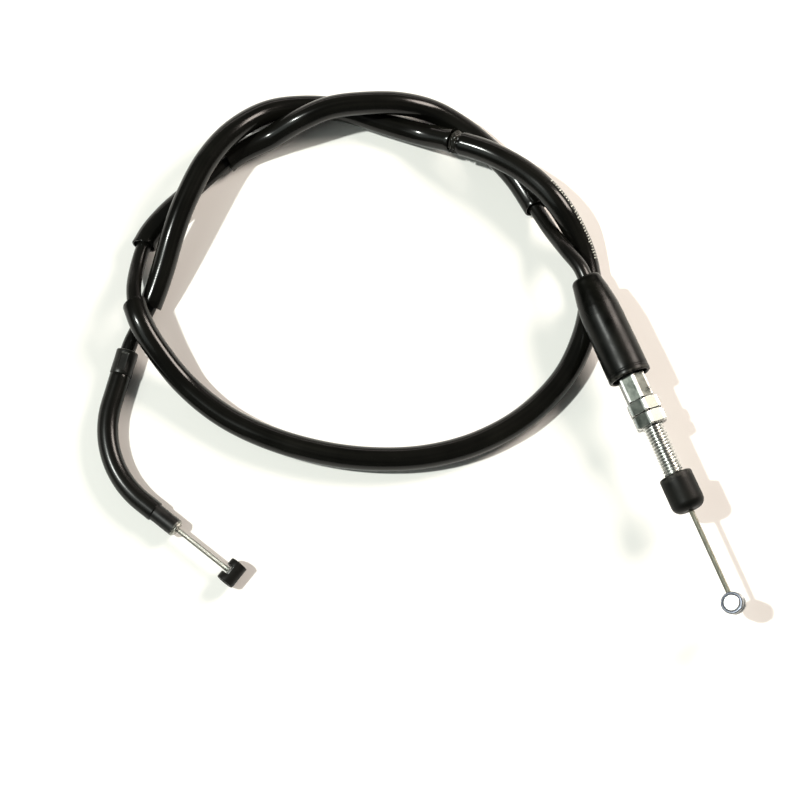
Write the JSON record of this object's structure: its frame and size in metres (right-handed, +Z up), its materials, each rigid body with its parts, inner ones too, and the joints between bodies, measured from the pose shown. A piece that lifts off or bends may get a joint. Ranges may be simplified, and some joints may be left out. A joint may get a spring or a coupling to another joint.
{
  "type": "motorcycle clutch cable",
  "caption": "Motorcycle clutch cable with sleeved casing, threaded adjuster with lock nuts, rubber boot, barrel nipple, bent guide pipe and slotted barrel end.",
  "frame": {"origin": "middle of the box round the end fittings, on the plane that the cable lies on", "axes": "+X from the arm end towards the lever end, +Y across the coil towards its far side, +Z up"},
  "size_m": [0.249, 0.2147, 0.0267],
  "materials": {
    "jacket_pvc": "satin extruded jacket",
    "sleeve_pvc": "glossy soft sleeve",
    "boot_rubber": "smooth moulded rubber, semi gloss",
    "cap_rubber": "matt moulded rubber",
    "zinc_steel": "bright zinc plate over turned and milled steel",
    "wire_steel": "galvanised stranded wire",
    "casing_steel": "wound flat spring wire",
    "liner_plastic": "smooth low-friction liner",
    "nipple_zinc": "die-cast zinc, bright",
    "pipe_paint": "black coated steel pipe",
    "cover_pvc": "satin shrunk cover",
    "collar_paint": "black coated crimp, semi gloss",
    "bush_steel": "plain turned steel",
    "barrel_black": "black passivated steel"
  },
  "bodies": {
    "casing": {"adjuster_bolt": "zinc_steel", "outer_jacket": "jacket_pvc", "spiral_casing": "casing_steel", "inner_liner": "liner_plastic", "inner_wire": "wire_steel", "sleeve_a": "sleeve_pvc", "sleeve_b": "sleeve_pvc", "sleeve_c": "sleeve_pvc", "sleeve_d": "sleeve_pvc", "elbow_collar": "collar_paint", "elbow_pipe": "pipe_paint", "elbow_cover": "cover_pvc", "pipe_end_bush": "bush_steel"},
    "lever_wire": {"lever_nipple": "nipple_zinc", "lever_wire_end": "wire_steel"},
    "arm_wire": {"arm_wire_end": "wire_steel", "arm_wire_button": "nipple_zinc"},
    "swivel_barrel": {"arm_barrel": "barrel_black"},
    "rubber_boot": {"boot": "boot_rubber"},
    "rubber_cap": {"end_cap": "cap_rubber"},
    "outer_nut": {"outer_lock_nut": "zinc_steel"},
    "inner_nut": {"inner_lock_nut": "zinc_steel"}
  },
  "joints": [
    {"name": "lever_wire_pull", "type": "slide", "parent": "casing", "child": "lever_wire", "axis": [0.3827, -0.9239, 0], "range_m": [-0.01, 0.014]},
    {"name": "arm_wire_pull", "type": "slide", "parent": "casing", "child": "arm_wire", "axis": [0.7826, -0.6225, 0], "range_m": [-0.014, 0.01]},
    {"name": "arm_barrel_turn", "type": "hinge", "parent": "arm_wire", "child": "swivel_barrel", "pos_m": [-0.07099, -0.04733, 0.00435], "axis": [0.6225, 0.7826, 0], "range_deg": [-35, 35]},
    {"name": "boot_slide", "type": "slide", "parent": "casing", "child": "rubber_boot", "axis": [0.3827, -0.9239, 0], "range_m": [0, 0.022]},
    {"name": "end_cap_slide", "type": "slide", "parent": "casing", "child": "rubber_cap", "axis": [0.3827, -0.9239, 0], "range_m": [0, 0.022]},
    {"name": "outer_nut_travel", "type": "slide", "parent": "casing", "child": "outer_nut", "axis": [0.3827, -0.9239, 0], "range_m": [0, 0.02]},
    {"name": "inner_nut_travel", "type": "slide", "parent": "casing", "child": "inner_nut", "axis": [0.3827, -0.9239, 0], "range_m": [0, 0.012]}
  ],
  "couplings": [
    {"joint": "arm_wire_pull", "follows": "lever_wire_pull", "ratio": -1},
    {"joint": "inner_nut_travel", "follows": "outer_nut_travel", "ratio": 0.6}
  ]
}
